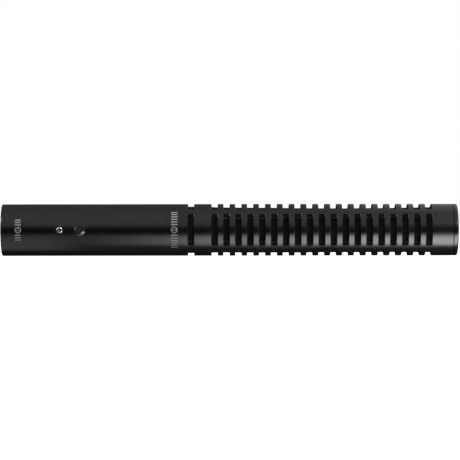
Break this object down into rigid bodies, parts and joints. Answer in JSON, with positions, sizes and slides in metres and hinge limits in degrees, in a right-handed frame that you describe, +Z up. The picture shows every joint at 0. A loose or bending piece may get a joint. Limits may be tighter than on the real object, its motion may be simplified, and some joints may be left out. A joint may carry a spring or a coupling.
{
  "type": "short shotgun microphone",
  "caption": "Slim cylindrical shotgun microphone with a slotted interference tube, screwed front bezel with mesh, and a male three-pin XLR socket in the rear end.",
  "frame": {"origin": "on the barrel's axis, halfway between the rear rim and the front rim", "axes": "+X along the barrel towards the sound source, +Z up, the two screws face -Y, contact pin 3 lies towards -Z"},
  "size_m": [0.185, 0.021, 0.021],
  "materials": {
    "anodised_black": "black satin anodised",
    "cloth_black": "fine woven acoustic cloth",
    "felt_black": "dense felt",
    "mesh_black": "blackened woven wire",
    "screw_nickel": "bright nickel plate",
    "screw_black": "black oxide",
    "plated_metal": "satin nickel plate",
    "brass": "turned brass",
    "contact_gold": "gold flash over brass",
    "film_gold": "gold-sputtered polyester film",
    "film_clear": "polyester film",
    "insulator_black": "glass-filled moulding",
    "insulator_white": "machined acetal",
    "rubber_black": "moulded rubber",
    "chassis_metal": "milled",
    "board_green": "solder mask over glass laminate",
    "case_black": "moulded epoxy",
    "can_sleeve": "shrunk sleeve with bare aluminium top",
    "film_case": "dipped case",
    "resistor_body": "lacquered, with colour bands",
    "wire_red": "soft insulation",
    "wire_white": "soft insulation",
    "wire_black": "soft insulation"
  },
  "bodies": {
    "root": {"barrel": "anodised_black", "tube_liner": "cloth_black", "capsule_can": "plated_metal", "diaphragm_ring": "brass", "diaphragm": "film_gold", "spacer_ring": "film_clear", "backplate": "brass", "backplate_insulator": "insulator_white", "resistance_disc": "cloth_black", "capsule_clamp_ring": "brass", "capsule_contact": "brass", "capsule_holder": "rubber_black", "chassis": "chassis_metal", "chassis_screw": "screw_black", "circuit_board": "board_green", "board_screws": "plated_metal", "transistors": "case_black", "electrolytic_capacitors": "can_sleeve", "film_capacitors": "film_case", "resistors": "resistor_body", "capsule_signal_lead": "wire_red", "capsule_ground_lead": "wire_black", "connector_lead_1": "wire_black", "connector_lead_2": "wire_red", "connector_lead_3": "wire_white", "connector_sleeve": "plated_metal", "connector_insert": "insulator_black", "contact_pin_1": "contact_gold", "contact_pin_2": "contact_gold", "contact_pin_3": "contact_gold", "ground_spring": "contact_gold", "lock_block": "plated_metal"},
    "front_stack": {"front_mesh": "mesh_black", "front_felt": "felt_black"},
    "bezel": {"front_bezel": "anodised_black", "mesh_retainer": "plated_metal"},
    "lock_screw": {"lock_screw": "screw_nickel"}
  },
  "joints": [
    {"name": "bezel_travel", "type": "slide", "parent": "root", "child": "front_stack", "axis": [1, 0, 0], "range_m": [0, 0.0041]},
    {"name": "bezel_turn", "type": "hinge", "parent": "front_stack", "child": "bezel", "pos_m": [0.0905, 0, 0], "axis": [1, 0, 0], "range_deg": [0, 1920]},
    {"name": "lock_screw_turn", "type": "hinge", "parent": "root", "child": "lock_screw", "pos_m": [-0.0686, -0.0084, 0], "axis": [0, -1, 0], "range_deg": [0, 720]}
  ],
  "couplings": [
    {"joint": "bezel_travel", "follows": "bezel_turn", "m_per_rad": 0.00011937}
  ]
}
